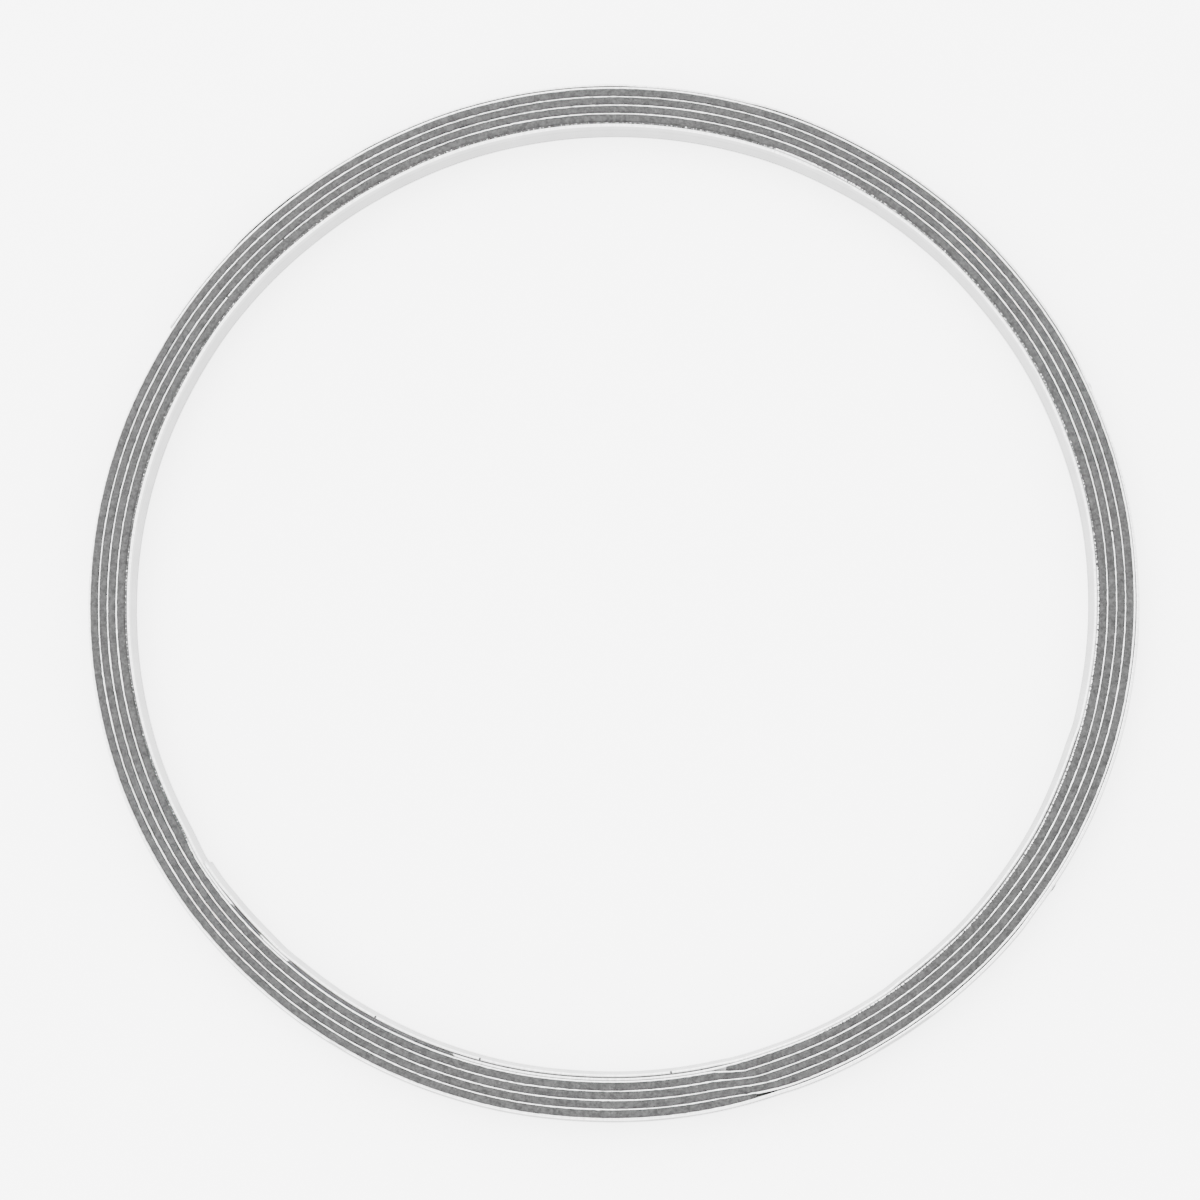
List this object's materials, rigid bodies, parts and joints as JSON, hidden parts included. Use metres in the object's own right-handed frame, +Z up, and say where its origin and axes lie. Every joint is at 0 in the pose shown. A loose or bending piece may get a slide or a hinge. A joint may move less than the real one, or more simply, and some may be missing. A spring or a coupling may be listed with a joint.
{
  "type": "spiral wound gasket",
  "caption": "Round flange gasket wound from a V-folded stainless strip with a graphite filler between its turns.",
  "frame": {"origin": "on the ring's axis, on the surface that the gasket rests on", "axes": "+Z up along the ring's axis; seen from above, the winding grows outward counterclockwise from the strip's free end in the bore at 213.5 degrees from +X"},
  "size_m": [0.1052, 0.1044, 0.0045],
  "materials": {
    "winding_strip": "bright rolled strip with sheared edges",
    "graphite_filler": "matt flexible graphite"
  },
  "bodies": {
    "root": {"winding_strip": "winding_strip", "graphite_filler": "graphite_filler"}
  },
  "joints": []
}
